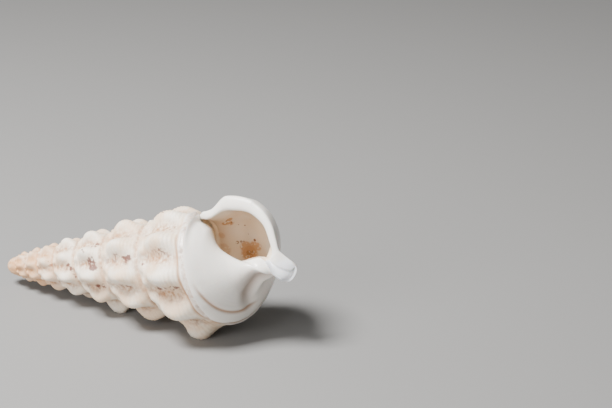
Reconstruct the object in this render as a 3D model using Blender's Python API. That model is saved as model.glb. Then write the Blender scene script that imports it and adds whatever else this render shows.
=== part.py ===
"""Auger-like sea shell (a knobbed cerith), resting on its side with the mouth towards the viewer's right.

The shell is one wall of lime wound round an axis. Its surface is worked out as the animal makes it: the
same outline is swept round the axis and grows by a fixed share with every whorl. The mouth, the thick lip,
the bent canal and the hollow behind the mouth close that surface into one solid.

Shape is worked out in millimetres on the shell's own axis, x from the tip to the canal. A direction round the
axis is an angle from +Y towards +Z. The solid is then tilted into the way it rests, and scaled to metres.
"""

import bmesh
import bpy
import numpy as np
from math import cos, pi, radians, sin

MM = 0.001
TURN = 2.0 * pi

# Driving dimensions: growth of the spire, in millimetres, whorls and degrees
GROWTH = 1.275             # size of a whorl against the one before it
WHORLS = 8.182             # whorls from the tip to the lip
SUTURE_REACH = 61.3        # from the point where the growth law ends to the seam (suture) at the lip
APEX_X = -SUTURE_REACH * GROWTH ** -WHORLS  # that point, ahead of the worn tip, which is at 0
SUTURE_SLOPE = 0.185       # radius of the seam against its distance from that point
TIP_DOME = 1.9             # length of the rounded tip
WORN = (7.1, 7.9)          # whorls before the lip between which the relief is worn away at the tip
LIP_ANGLE = radians(76.0)  # place of the lip round the axis
FACING = radians(160.7)    # side that the mouth faces
WALL = 1.3                 # thickness of the last whorl's wall

# Driving dimensions: relief, as shares of the distance from the point of growth
KNOB_HEIGHT = 0.056
KNOB_WIDTH_POWER = 1.5     # higher is a narrower knob, along the whorl
KNOB_LENGTH_POWER = 1.5    # higher is a shorter knob, across the whorl
LAST_KNOB_SHORTER = (0.505, 0.05, 1.5)  # place, breadth in whorls and gain in that power for the last knob
KNOB_LEAN = (1.12, 0.80)   # below 1 the crest is nearer the seam above: on the spire, on the last whorl
WHORL_SWELL = 0.013
SMOOTH_SWELL = 0.036       # round swelling of the last half whorl, which has no knobs
LIP_SWELL = 0.0415         # what the swelling becomes at the lip
LIP_HOLLOW = 0.003         # dip in it near the seam
SEAM_DEPTH = 0.008
LAST_KNOB = (0.41, 0.48)   # whorls before the lip between which the knobs fade out

# Knobs: running number of the knob at places given in whorls before the lip, ten a whorl near the lip and
# eight a whorl near the tip
KNOB_PLACE = (0.0, 0.515, 0.630, 0.733, 1.430, 1.725, 2.714, 3.693, 4.672, 5.650, 6.640, 7.630, 8.620)
KNOB_NUMBER = (-6.0, -2.0, -1.0, 0.0, 7.0, 10.0, 19.0, 28.0, 36.0, 44.0, 52.0, 60.0, 68.0)
# Knobs that differ from the rest: whorls before the lip, breadth in whorls, extra height. The shell lies on
# the three that are higher.
ODD_KNOBS = ((0.505, 0.03, 0.031), (1.0, 0.12, -0.018), (1.43, 0.05, 0.032), (2.48, 0.06, 0.056))

# Base of the last whorl: rows are whorls before the lip, then three control points of the outline (x, radius)
BASE = (
    (0.00, 68.4, 10.0, 70.2, 6.6, 70.0, 3.0),
    (0.25, 64.9, 11.8, 68.6, 6.9, 69.2, 3.0),
    (0.50, 62.2, 11.9, 64.2, 6.3, 67.8, 2.8),
    (0.75, 59.1, 11.2, 62.4, 4.2, 66.0, 2.6),
    (1.00, 54.6, 8.6, 55.6, 1.3, 62.0, 1.1),
    (1.15, 52.5, 7.9, 53.8, 1.9, 60.0, 1.4),
)
BASE_END = 0.62            # share of the way to the canal's end that this outline covers
NECK = (0.42, 0.62)        # stretch over which the base runs into the canal

# Edge of the mouth: rows are share of the way to the canal's end, then x, place towards the lip and place
# towards the viewer
LIP_EDGE = (
    (0.00, 66.17, 13.26, 1.2),
    (0.14, 68.85, 11.1, 1.1),
    (0.286, 70.75, 8.1, 0.9),
    (0.43, 71.6, 5.1, 0.6),
    (0.57, 72.05, 3.0, 0.3),
    (0.643, 72.6, 2.3, 0.0),
    (0.71, 73.35, 1.6, -0.4),
    (0.857, 74.5, 0.5, -1.1),
    (1.00, 75.0, -0.4, -1.6),
)
PILLAR_EDGE = (
    (0.00, 52.89, 10.95, 1.02),
    (0.07, 53.35, 9.3, 1.1),
    (0.143, 54.8, 8.4, 1.4),
    (0.214, 56.1, 7.4, 1.6),
    (0.286, 56.9, 5.8, 1.6),
    (0.357, 58.0, 3.65, 1.4),
    (0.43, 59.8, 2.0, 1.1),
    (0.50, 62.1, 0.95, 1.0),
    (0.55, 64.6, 0.8, 1.2),
    (0.59, 66.8, 1.25, 1.5),
    (0.62, 68.4, 1.45, 1.75),
    (0.643, 69.5, 0.7, 1.8),
    (0.68, 70.2, -0.1, 1.8),
    (0.73, 70.7, -1.1, 1.6),
    (0.786, 71.1, -2.0, 1.1),
    (0.857, 71.6, -2.85, 0.3),
    (0.93, 72.1, -3.45, -0.7),
    (1.00, 72.9, -3.5, -1.6),
)
# Inner edge of the lip: place along it is 0 at the seam, 1 at the base and 2 at the canal's end, then
# as above
INNER_LIP = (
    (0.00, 53.2, 9.7, 1.0),
    (0.125, 54.9, 9.65, 1.2),
    (0.25, 56.5, 10.2, 1.3),
    (0.40, 58.8, 11.25, 1.4),
    (0.625, 61.5, 11.4, 1.4),
    (1.00, 65.6, 10.7, 1.2),
    (1.21, 68.7, 8.2, 1.0),
    (1.43, 70.1, 4.5, 0.6),
    (1.53, 70.5, 2.9, 0.45),
    (1.59, 70.4, 1.9, 0.4),
    (1.643, 69.95, 1.0, 0.4),
    (1.70, 70.55, 0.35, 0.5),
    (1.78, 71.6, -0.5, 0.2),
    (1.87, 72.9, -1.1, -0.4),
    (1.94, 73.9, -1.3, -1.0),
    (2.00, 74.5, -1.05, -1.35),
)
# Section of the neck and canal, an oval: rows are share of the way, then its middle, its half-width towards
# the lip and its half-depth towards the back, each in the same directions, and the degrees it covers from the
# lip's edge round the back to the pillar's edge
CANAL = (
    (0.55, 68.2, 0.0, 0.0, 0.0, 3.0, 0.1, 0.0, 0.0, -3.0, 330.0),
    (0.66, 70.0, 0.2, -0.1, 0.3, 2.6, 0.0, 0.0, 0.0, -2.6, 272.0),
    (0.74, 71.2, 0.1, -0.1, 0.8, 2.1, -0.5, 0.0, -0.1, -2.3, 232.0),
    (0.82, 72.7, -0.7, 0.0, 1.1, 1.8, -1.0, 0.3, -0.2, -2.1, 200.0),
    (0.90, 73.4, -1.4, -0.8, 1.15, 1.85, -0.65, 0.5, -0.3, -2.0, 183.0),
    (1.00, 73.95, -1.95, -1.6, 1.05, 1.55, 0.0, 0.65, -0.45, -0.3, 180.0),
)
# Depth of the canal's gutter below its two edges
GUTTER_DEPTH = ((0.60, 1.2), (0.643, 1.0), (0.72, 0.4), (0.82, 0.25), (0.92, 0.15), (1.00, 0.0))
CANAL_ENTRY = 0.643        # share of the way where the canal leaves the mouth
CANAL_WALL = 0.45
CANAL_WALL_RISE = 0.35     # how far that wall's inner edge leans to the viewer, as a share of it
EDGE_BULGE = (0.22, 0.10)  # roundness of the edge, as a share of its thickness: at the lip, at the canal

# Hollow behind the mouth, in whorls before the lip
THROAT = 0.16
HOLLOW_END = 0.45
PILLAR_RADIUS = 0.45
HOLLOW_FRONT_RADIUS = 1.1
HOLLOW_FRONT_GAP = 1.6     # from the base's front to the hollow's front end
PILLAR_CLEARANCE = (0.25, 1.1)  # gap between hollow and pillar, and how much less it is beside the mouth
LEAVE_SHARE = 0.35         # length of the mouth curves' handles, as a share of the way they cover
PILLAR_LEAVE_LOSS = 0.6    # what those on the pillar lose of it

# How it lies
RISE = radians(11.6)      # slope of the axis, from the tip up to the canal
TIP_HEIGHT = 3.95          # of the axis at the tip, above the surface
CENTRE = (36.97, -0.08)     # middle of the shell's box, counted from the tip

# Steps of the surface
STEPS_A_WHORL = 44
BAND_STEPS = 8
BASE_STEPS = 14
RIM_STEPS = 3
MOUTH_STEPS = 4
HOLLOW_STEPS = 5

PORCELAIN_WHITE = (0.83, 0.78, 0.71, 1.0)
PORCELAIN_ROUGHNESS = 0.42


def ease(x, start, end):
    """Smooth step: 0 before start, 1 after end, and 3t^2 - 2t^3 between."""
    t = np.clip((np.asarray(x, float) - start) / (end - start), 0.0, 1.0)
    return t * t * (3.0 - 2.0 * t)


def hump(x, centre, width):
    """Bell curve of height 1."""
    return np.exp(-((x - centre) / width) ** 2)


def through(rows, at):
    """Smooth curve through rows whose first number is their place: cubic pieces with the slopes that the
    neighbouring rows give."""
    rows = np.asarray(rows, float)
    place = rows[:, 0]
    point = rows[:, 1:]
    slope = np.empty_like(point)
    slope[1:-1] = (point[2:] - point[:-2]) / (place[2:] - place[:-2])[:, None]
    slope[0] = (point[1] - point[0]) / (place[1] - place[0])
    slope[-1] = (point[-1] - point[-2]) / (place[-1] - place[-2])
    at = np.asarray(at, float)
    k = np.clip(np.searchsorted(place, at, side="right") - 1, 0, len(place) - 2)
    step = (place[k + 1] - place[k])[..., None]
    t = (at - place[k])[..., None] / step
    near = (2 * t ** 3 - 3 * t ** 2 + 1) * point[k] + (t ** 3 - 2 * t ** 2 + t) * step * slope[k]
    far = (3 * t ** 2 - 2 * t ** 3) * point[k + 1] + (t ** 3 - t ** 2) * step * slope[k + 1]
    return near + far


def bezier(a, b, c, d, t):
    """Cubic curve from a to d, with b and c as its control points."""
    s = 1.0 - t
    return s ** 3 * a + 3 * s * s * t * b + 3 * s * t * t * c + t ** 3 * d


def round_axis(x, radius, angle):
    return np.stack([x, radius * np.cos(angle), radius * np.sin(angle)], axis=-1)


def side(angle):
    return np.array([0.0, cos(angle), sin(angle)])


TO_LIP = side(FACING - pi / 2)
TO_VIEWER = side(FACING)


def placed(row):
    """Point from x, place towards the lip and place towards the viewer."""
    ahead = row[..., 0:1] * np.array([1.0, 0.0, 0.0])
    return ahead + row[..., 1:2] * TO_LIP + row[..., 2:3] * TO_VIEWER


def angle_of(whorl):
    return LIP_ANGLE - TURN * whorl


def seam(whorl):
    """x and radius of the seam, whorls before the lip: both shrink by the growth factor with each whorl.
    Below 0 it is the lower edge of the last whorl's side, which draws in towards the lip."""
    whorl = np.asarray(whorl, float)
    reach = SUTURE_REACH * GROWTH ** (-whorl)
    after = np.clip(-whorl, 0.0, 1.0)
    x = APEX_X + reach - 3.6 * after ** 2
    radius = SUTURE_SLOPE * reach - 0.6 * after ** 2 - 0.5 * after ** 5
    return x, radius


def side_outline(whorl, across):
    """x and radius of the side of a whorl, across from its seam (0) to the next one (1): the line between the
    seams, plus a swelling, plus a row of knobs whose height is a raised cosine round the whorl. The last
    half whorl has a plain swelling in place of the knobs, which at the lip is hollow near the seam."""
    whorl, across = np.broadcast_arrays(np.asarray(whorl, float), np.asarray(across, float))
    x0, r0 = seam(whorl)
    x1, r1 = seam(whorl - 1.0)
    x = x0 + (x1 - x0) * across
    reach = SUTURE_REACH * GROWTH ** (-whorl)
    knobbed = ease(whorl, *LAST_KNOB)
    number = np.interp(whorl, KNOB_PLACE, KNOB_NUMBER)
    height = np.full(whorl.shape, KNOB_HEIGHT)
    for place, breadth, extra in ODD_KNOBS:
        height = height + extra * hump(whorl, place, breadth)
    knob = height * (0.5 + 0.5 * np.cos(TURN * number)) ** KNOB_WIDTH_POWER
    lean = KNOB_LEAN[0] + (KNOB_LEAN[1] - KNOB_LEAN[0]) * ease(0.62 - whorl, 0.0, 0.1)
    place, breadth, gain = LAST_KNOB_SHORTER
    knob = knob * np.sin(pi * across ** lean) ** (KNOB_LENGTH_POWER + gain * hump(whorl, place, breadth))
    swell = WHORL_SWELL * np.sin(pi * across ** 1.1) ** 0.9
    late = SMOOTH_SWELL * np.sin(pi * across ** 0.82) ** 1.05
    lip = LIP_SWELL * ease(across, 0.2, 0.54) * (1.0 - across ** 3) - LIP_HOLLOW * hump(across, 0.12, 0.1)
    late = late + (lip - late) * ease(0.36 - whorl, 0.0, 0.34)
    groove = SEAM_DEPTH * (hump(across, 0.0, 0.04) + hump(across, 1.0, 0.04) * ease(whorl, 0.85, 1.0))
    relief = (swell + knob) * knobbed + late * (1.0 - knobbed) - groove
    relief = relief * (1.0 - ease(whorl, *WORN))
    radius = r0 + (r1 - r0) * across + reach * relief
    dome = np.clip(x / TIP_DOME, 0.0, 1.0)
    return x, radius * np.sqrt(1.0 - (1.0 - dome) ** 2)


def side_point(whorl, across):
    x, radius = side_outline(whorl, across)
    return round_axis(x, radius, angle_of(whorl))


def base_outline(whorl, start, along, shrink=1.0):
    """Cubic outline of the base from start, with the control points of the rows of BASE. A shrink of GROWTH
    gives the whorl before."""
    rows = through(BASE, whorl)
    points = []
    for k in range(3):
        x = APEX_X + (rows[..., 2 * k] - APEX_X) / shrink
        points.append(np.stack([x, rows[..., 2 * k + 1] / shrink], axis=-1))
    t = np.clip(along / BASE_END, 0.0, 1.0)[..., None]
    outline = bezier(start, *points, t)
    return outline[..., 0], outline[..., 1]


def canal_point(whorl, along):
    """Outside of the neck and canal: an oval from the lip's edge (whorl 0) round the back to the pillar's
    edge (whorl 1)."""
    rows = through(CANAL, np.clip(along, CANAL[0][0], 1.0))
    swing = np.radians(rows[..., 9:10]) * whorl[..., None]
    middle = placed(rows[..., 0:3])
    return middle + placed(rows[..., 3:6]) * np.cos(swing) + placed(rows[..., 6:9]) * np.sin(swing)


def plain_base_point(whorl, along):
    start = np.stack(side_outline(whorl, 1.0), axis=-1)
    x, radius = base_outline(whorl, start, along)
    neck = ease(along, *NECK)[..., None]
    return round_axis(x, radius, angle_of(whorl)) * (1 - neck) + canal_point(whorl, along) * neck


def base_point(whorl, along):
    """Outside of the base, along from the last whorl's side (0) to the canal's end (1). Near the mouth it is
    drawn to the two edges: the lip's at whorl 0 and the pillar's at whorl 1."""
    whorl, along = np.broadcast_arrays(np.asarray(whorl, float), np.asarray(along, float))
    point = plain_base_point(whorl, along)
    to_lip = placed(through(LIP_EDGE, along)) - plain_base_point(np.zeros_like(whorl), along)
    to_pillar = placed(through(PILLAR_EDGE, along)) - plain_base_point(np.ones_like(whorl), along)
    at_lip = (1 - ease(whorl, 0.0, 0.25))[..., None]
    at_pillar = ease(whorl, 0.74, 1.0)[..., None]
    return point + to_lip * at_lip + to_pillar * at_pillar


def hollow_end(whorl):
    """x and radius of the front end of the hollow's section, between the wall and the pillar."""
    x = through(BASE, whorl)[..., 4] - HOLLOW_FRONT_GAP - whorl
    return x, np.full(np.shape(whorl), HOLLOW_FRONT_RADIUS)


def wall_inside(whorl, along):
    """Inside of the outer wall: the outline of the side (along 0 to 1) and the base (1 to 2), moved inwards
    by the wall's thickness."""
    x_side, r_side = side_outline(np.minimum(whorl, LAST_KNOB[0]), np.clip(along, 0.0, 1.0))
    shrink = GROWTH ** (np.minimum(whorl, LAST_KNOB[0]) - whorl)
    x_side = APEX_X + (x_side - APEX_X) * shrink
    r_side = r_side * shrink
    start = np.stack(side_outline(whorl, 1.0), axis=-1)
    x_base, r_base = base_outline(whorl, start, np.clip(along - 1.0, 0.0, 1.0))
    x = np.where(along > 1.0, x_base, x_side)
    radius = np.where(along > 1.0, r_base, r_side)
    dx = np.gradient(x)
    dr = np.gradient(radius)
    length = np.hypot(dx, dr) + 1e-9
    wall = WALL * ease(along, -0.15, 0.2)
    x = x + dr / length * wall
    radius = radius - dx / length * wall
    end_x, end_r = hollow_end(whorl)
    front = ease(along, 1.3, 1.62)
    return x * (1 - front) + end_x * front, radius * (1 - front) + end_r * front


def pillar_side(whorl, along):
    """Inner side of the hollow: the base of the whorl before, and then the pillar."""
    start = np.stack(seam(whorl), axis=-1)
    x, radius = base_outline(whorl, start, along, shrink=GROWTH)
    front = ease(along, 0.35, 0.9)
    x = x * (1 - front) + hollow_end(whorl)[0] * front
    bare = ease(along, 0.3, 0.5)
    radius = np.maximum(radius * (1 - bare) + PILLAR_RADIUS * bare, PILLAR_RADIUS)
    dx = np.gradient(x)
    dr = np.gradient(radius)
    length = np.hypot(dx, dr) + 1e-9
    clear = PILLAR_CLEARANCE[0] - PILLAR_CLEARANCE[1] * hump(along, 0.2, 0.14)
    return x - dr / length * clear, radius + dx / length * clear


def hollow_loop(whorl, outer, canal_count, inner):
    """Closed section of the hollow, some whorls before the lip: wall, front end, pillar side."""
    x_out, r_out = wall_inside(np.full(outer.shape, whorl), outer)
    x_in, r_in = pillar_side(np.full(inner.shape, whorl), inner)
    t = np.linspace(0.0, 1.0, canal_count)
    x_end = x_out[-1] * (1 - t) + x_in[0] * t
    r_end = r_out[-1] * (1 - t) + r_in[0] * t
    x = np.concatenate([x_out, x_end, x_in])
    radius = np.concatenate([r_out, r_end, r_in])
    return round_axis(x, radius, angle_of(whorl))


def unit(vectors):
    return vectors / (np.linalg.norm(vectors, axis=-1, keepdims=True) + 1e-12)


def faces_of(index):
    """Faces of a grid of point numbers. A number that repeats round a face is taken once."""
    corners = (index[:-1, :-1], index[1:, :-1], index[1:, 1:], index[:-1, 1:])
    rings = np.stack(corners, axis=-1).reshape(-1, 4).tolist()
    rings = [list(dict.fromkeys(ring)) for ring in rings]
    return [ring for ring in rings if len(ring) > 2]


def spire_grid():
    """Points and their numbers on the sides of all whorls. The last column of a whorl is the first column of
    the whorl after it, so that the seams are closed. The first point is the tip."""
    rows = round(WHORLS * STEPS_A_WHORL)
    whorl = np.arange(rows, -1, -1) / STEPS_A_WHORL
    across = np.linspace(0.0, 1.0, BAND_STEPS + 1)
    points = side_point(whorl[:, None], across[None, :-1]).reshape(-1, 3)
    free_edge = side_point(whorl[-STEPS_A_WHORL:], 1.0)
    index = np.empty((rows + 1, BAND_STEPS + 1), int)
    index[:, :-1] = np.arange(len(points)).reshape(rows + 1, BAND_STEPS)
    index[:-STEPS_A_WHORL, -1] = index[STEPS_A_WHORL:, 0]
    index[-STEPS_A_WHORL:, -1] = len(points) + np.arange(STEPS_A_WHORL)
    return np.concatenate([points, free_edge]), index


def tip_grid(points, spire):
    """Points and numbers of the rounded tip, inside the first turn of the seam: each row runs from the tip to
    the seam."""
    whorl = WHORLS - np.arange(1, STEPS_A_WHORL) / STEPS_A_WHORL
    share = np.arange(1, BAND_STEPS) / BAND_STEPS
    x = seam(whorl)[0][:, None] * share[None, :]
    dome = np.sqrt(1.0 - (1.0 - np.clip(x / TIP_DOME, 0.0, 1.0)) ** 2)
    angle = np.broadcast_to(angle_of(whorl)[:, None], x.shape)
    new = round_axis(x, SUTURE_SLOPE * (x - APEX_X) * dome, angle)
    index = np.full((STEPS_A_WHORL + 1, BAND_STEPS + 1), spire[0, 0])
    index[1:-1, 1:-1] = len(points) + np.arange(x.size).reshape(x.shape)
    index[:-1, -1] = spire[:STEPS_A_WHORL, 0]
    index[-1] = spire[0]
    return np.concatenate([points, new.reshape(-1, 3)]), index


def base_grid(points, spire):
    """Points and numbers on the base, from the last whorl's edge to the canal's end."""
    whorl = np.arange(STEPS_A_WHORL, -1, -1) / STEPS_A_WHORL
    along = np.linspace(0.0, 1.0, BASE_STEPS + 1)
    new = base_point(whorl[:, None], along[None, 1:]).reshape(-1, 3)
    index = np.empty((STEPS_A_WHORL + 1, BASE_STEPS + 1), int)
    index[:, 0] = spire[-STEPS_A_WHORL - 1:, -1]
    index[:, 1:] = len(points) + np.arange(len(new)).reshape(STEPS_A_WHORL + 1, BASE_STEPS)
    return np.concatenate([points, new]), index


def numbered(start, shape):
    """Running point numbers in a grid."""
    return start + np.arange(np.prod(shape)).reshape(shape)


def looped(index):
    """Grid of closed rows: the first column comes again at the end."""
    return np.concatenate([index, index[:, :1]], axis=1)


def rim_grid(points, spire, base):
    """Points and numbers of the rounded edge of the mouth: half an oval from its outside to its inside. The
    rows run along the lip, round the canal's end and back along the pillar, where the thickness dies out."""
    edge = np.concatenate([spire[-1, :-1], base[-1, :-1], base[::-1, -1], base[0, ::-1][1:-1]])
    start = points[edge]
    along = np.linspace(0.0, 1.0, BASE_STEPS + 1)
    back = along[::-1][1:-1]
    lip = np.concatenate([np.linspace(0.0, 1.0, BAND_STEPS + 1)[:-1], 1.0 + along[:-1]])
    inner = start.copy()
    inner[:len(lip)] = placed(through(INNER_LIP, lip))
    tangent = unit(np.roll(start, -1, axis=0) - np.roll(start, 1, axis=0))
    inward = unit(np.cross(tangent, TO_VIEWER)) + CANAL_WALL_RISE * TO_VIEWER
    rest = slice(len(lip), len(edge))
    wall = np.concatenate([np.ones(STEPS_A_WHORL + 1), ease(back, 0.7, 0.95)])[:, None]
    inner[rest] = start[rest] + CANAL_WALL * wall * inward[rest]
    span = np.linalg.norm(inner - start, axis=1, keepdims=True)
    far = np.concatenate([lip, np.full(len(edge) - len(lip), 2.0)])
    bulge = EDGE_BULGE[0] + (EDGE_BULGE[1] - EDGE_BULGE[0]) * ease(far, 1.55, 1.75)
    rows = []
    for k in range(1, RIM_STEPS + 1):
        swing = pi * k / RIM_STEPS
        over = (inner - start) * (0.5 - 0.5 * cos(swing))
        rows.append(start + over + TO_VIEWER * bulge[:, None] * span * sin(swing))
    index = np.concatenate([edge[None], numbered(len(points), (RIM_STEPS, len(edge)))])
    return np.concatenate([points] + rows), index


def gutter_grid(points, rim):
    """Points and numbers of the inside of the canal. Each row is a parabola from the lip's edge to the
    pillar's, and the rows are drawn out to the canal's end."""
    first = round(CANAL_ENTRY * BASE_STEPS)
    count = BASE_STEPS - first
    lip = BAND_STEPS + first
    end = BAND_STEPS + BASE_STEPS
    pillar = end + STEPS_A_WHORL
    index = np.empty((count + 1, STEPS_A_WHORL + 1), int)
    index[:, 0] = rim[lip:end + 1]
    index[:, -1] = rim[pillar:pillar + count + 1][::-1]
    index[-1] = rim[end:pillar + 1]
    index[:-1, 1:-1] = numbered(len(points), (count, STEPS_A_WHORL - 1))
    along = np.arange(first, BASE_STEPS + 1) / BASE_STEPS
    depth = through(GUTTER_DEPTH, along)
    left = points[index[:, 0]]
    right = points[index[:, -1]]
    floor = (left + right) / 2 - 2.0 * depth * TO_VIEWER
    t = np.linspace(0.0, 1.0, STEPS_A_WHORL + 1)[None, :, None]
    rows = (1 - t) ** 2 * left[:, None] + 2 * t * (1 - t) * floor[:, None] + t ** 2 * right[:, None]
    to_end = points[index[-1]] - rows[-1]
    rows = rows + to_end[None] * ease(along, 0.75, 1.0)[:, None, None]
    return np.concatenate([points, rows[:-1, 1:-1].reshape(-1, 3)]), index


def mouth_grid(points, rim, gutter):
    """Points and numbers of the mouth and the hollow: closed rows along the lip, across the canal's entry and
    back along the pillar, from the rim to the hollow's end."""
    first = BASE_STEPS - len(gutter) + 1
    across = np.linspace(0.0, 1.0, BAND_STEPS + 1)[:-1]
    along = np.arange(first) / BASE_STEPS
    back = along[:0:-1]
    edge = np.concatenate([rim[:BAND_STEPS + first], gutter[0], rim[len(rim) - first + 1:]])
    outer = np.concatenate([across, 1.0 + along])
    canal_count = STEPS_A_WHORL + 1

    # Mouth: cubic curves from the rim to the throat
    throat = hollow_loop(THROAT, outer, canal_count, back)
    sweep = unit(hollow_loop(THROAT + 0.03, outer, canal_count, back) - throat)
    start = points[edge]
    leave = np.tile(-TO_VIEWER, (len(start), 1))
    canal = slice(len(outer), len(outer) + canal_count)
    on_pillar = np.ones(len(back))
    onwards = unit(base_point(on_pillar * 1.03, back) - base_point(on_pillar, back))
    turned = ease(back, 0.3, 0.5)[:, None]
    leave[canal.stop:] = unit(onwards * (1 - turned) - TO_VIEWER * turned)
    t = np.linspace(0.0, 1.0, canal_count)[:, None]
    at_edges = (1 - t) * leave[len(outer) - 1] + t * leave[canal.stop]
    in_gutter = unit(points[gutter[0]] - points[gutter[1]])
    leave[canal] = unit(at_edges + (in_gutter - at_edges) * np.sin(pi * t))
    gap = LEAVE_SHARE * np.linalg.norm(throat - start, axis=1, keepdims=True)
    gap[canal.stop:] *= 1.0 - PILLAR_LEAVE_LOSS * turned
    rows = []
    for k in range(1, MOUTH_STEPS + 1):
        rows.append(bezier(start, start + leave * gap, throat - sweep * gap, throat, k / MOUTH_STEPS))

    # Hollow: the same section, wound back into the shell
    for k in range(1, HOLLOW_STEPS + 1):
        whorl = THROAT + (HOLLOW_END - THROAT) * k / HOLLOW_STEPS
        rows.append(hollow_loop(whorl, outer, canal_count, back))
    index = np.concatenate([edge[None], numbered(len(points), (len(rows), len(edge)))])
    return np.concatenate([points] + rows), index


def closing_fan(points, ring):
    """Triangles from a closed ring of point numbers to a new point in its middle."""
    middle = points[ring].mean(axis=0)
    faces = [[len(points), int(ring[k]), int(ring[k - 1])] for k in range(len(ring))]
    return np.concatenate([points, middle[None]]), faces


def at_rest(points):
    """Tilt the axis up by RISE about the tip, lift it, and centre the box. Result in metres."""
    x, y, z = points.T
    ahead = x * cos(RISE) - z * sin(RISE)
    up = x * sin(RISE) + z * cos(RISE)
    return np.stack([ahead - CENTRE[0], y - CENTRE[1], up + TIP_HEIGHT], axis=-1) * MM


def shell_surface():
    points, spire = spire_grid()
    points, tip = tip_grid(points, spire)
    points, base = base_grid(points, spire)
    points, rim = rim_grid(points, spire, base)
    points, gutter = gutter_grid(points, rim[-1])
    points, mouth = mouth_grid(points, rim[-1], gutter)
    points, faces = closing_fan(points, mouth[-1])
    for index in (spire, tip, base, looped(rim), gutter, looped(mouth)):
        faces += faces_of(index)
    return at_rest(points), faces


def cut_flat_spots(mesh):
    """Cut off what dips below the surface that the shell lies on, and close the cuts with flat faces."""
    bm = bmesh.new()
    bm.from_mesh(mesh)
    bmesh.ops.remove_doubles(bm, verts=bm.verts, dist=0.00001)
    everything = bm.verts[:] + bm.edges[:] + bm.faces[:]
    cut = bmesh.ops.bisect_plane(bm, geom=everything, dist=0.00001, plane_co=(0, 0, 0), plane_no=(0, 0, -1),
                                 clear_outer=True)
    rim = [item for item in cut["geom_cut"] if isinstance(item, bmesh.types.BMEdge)]
    bmesh.ops.holes_fill(bm, edges=rim)
    bmesh.ops.recalc_face_normals(bm, faces=bm.faces)
    bm.to_mesh(mesh)
    bm.free()


def porcelain():
    material = bpy.data.materials.new("porcelain_white")
    material.use_nodes = True
    shader = material.node_tree.nodes["Principled BSDF"]
    shader.inputs["Base Color"].default_value = PORCELAIN_WHITE
    shader.inputs["Roughness"].default_value = PORCELAIN_ROUGHNESS
    return material


def build_shell(collection):
    points, faces = shell_surface()
    mesh = bpy.data.meshes.new("shell")
    mesh.from_pydata(points.tolist(), [], faces)
    cut_flat_spots(mesh)
    mesh.shade_smooth()
    mesh.materials.append(porcelain())
    shell = bpy.data.objects.new("shell", mesh)
    collection.objects.link(shell)


for old in list(bpy.data.objects):
    bpy.data.objects.remove(old)
auger_shell = bpy.data.collections.new("auger_shell")
bpy.context.scene.collection.children.link(auger_shell)
build_shell(auger_shell)
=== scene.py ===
from math import cos, pi, radians, sin

import bmesh
import bpy
import numpy as np
from mathutils import Matrix, Vector


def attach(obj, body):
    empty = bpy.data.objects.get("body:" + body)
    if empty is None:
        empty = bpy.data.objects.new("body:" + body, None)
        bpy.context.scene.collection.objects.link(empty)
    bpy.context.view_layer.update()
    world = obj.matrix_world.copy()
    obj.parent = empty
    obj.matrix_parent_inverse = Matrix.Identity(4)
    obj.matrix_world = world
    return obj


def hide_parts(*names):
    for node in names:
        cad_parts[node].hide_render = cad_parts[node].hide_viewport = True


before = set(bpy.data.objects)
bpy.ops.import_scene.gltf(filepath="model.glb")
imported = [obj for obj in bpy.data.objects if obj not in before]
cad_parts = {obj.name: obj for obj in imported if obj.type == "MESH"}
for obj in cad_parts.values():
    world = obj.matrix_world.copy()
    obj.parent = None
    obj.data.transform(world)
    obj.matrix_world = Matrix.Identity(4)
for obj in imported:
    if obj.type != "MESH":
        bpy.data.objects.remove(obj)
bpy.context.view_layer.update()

# Spire. One wall of lime wound round an axis: each whorl is the one before it, larger by a fixed share, and
# carries a row of blunt knobs, a row of beads under the seam and fine threads. Worked out in millimetres on
# the shell's own axis: x from the tip to the canal, an angle from +Y towards +Z, and whorls before the lip.
TURN = 2.0 * pi
GROWTH = 1.275                 # size of a whorl against the one before it
WHORLS = 8.182                 # from the tip to the lip
SUTURE_REACH = 61.3            # from the point where the growth law ends to the seam at the lip
APEX_X = -SUTURE_REACH * GROWTH ** -WHORLS
SUTURE_SLOPE = 0.185           # radius of the seam against its distance from that point
EDGE_BACK = 3.6                # how far the lower edge of the last whorl's side draws back at the lip
EDGE_IN = (0.6, 0.5)           # how far it draws in: slowly, and close to the lip
TIP_DOME = 1.9                 # length of the rounded tip
WORN = (7.1, 7.9)              # whorls before the lip between which the relief is worn away
LIP_ANGLE = radians(76.0)

# Heights are shares of the distance from the point where the growth law ends
KNOB_HEIGHT = 0.056
KNOB_WIDTH_POWER = 1.15        # higher is a narrower knob, along the whorl
KNOB_LENGTH_POWER = 1.5        # higher is a shorter knob, across the whorl
LAST_KNOB_SHORTER = (0.505, 0.05, 1.5)  # place, breadth in whorls and gain in that power for the last knob
KNOB_LEAN = (1.12, 0.80)       # below 1 the crest is nearer the seam above: on the spire, on the last whorl
LAST_LEAN = (0.62, 0.1)        # whorls before the lip where the second lean begins, and over which it comes
KNOB_UNEVEN = (0.10, 24.3)     # share by which the heights vary, and how fast, in radians a whorl
UNEVEN_FROM = (1.6, 2.0)
LAST_KNOB = (0.41, 0.48)       # whorls before the lip between which the knobs fade out
KNOB_PLACE = (0.0, 0.515, 0.630, 0.733, 1.430, 1.725, 2.714, 3.693, 4.672, 5.650, 6.640, 7.630, 8.620)
KNOB_NUMBER = (-6.0, -2.0, -1.0, 0.0, 7.0, 10.0, 19.0, 28.0, 36.0, 44.0, 52.0, 60.0, 68.0)
ODD_KNOBS = ((0.505, 0.03, 0.031), (1.0, 0.12, -0.018), (1.43, 0.05, 0.032), (2.48, 0.06, 0.056))
BEAD_HEIGHT = 0.012
BEADS_A_KNOB = 2.0
BEAD_SHIFT = 0.25
BEAD_ROW = (0.13, 0.075)       # place across the side, and breadth
TIP_BEADS_GAIN = 1.2           # how much more the beads stand out near the tip
TIP_BEADS = (2.5, 5.0)
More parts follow.
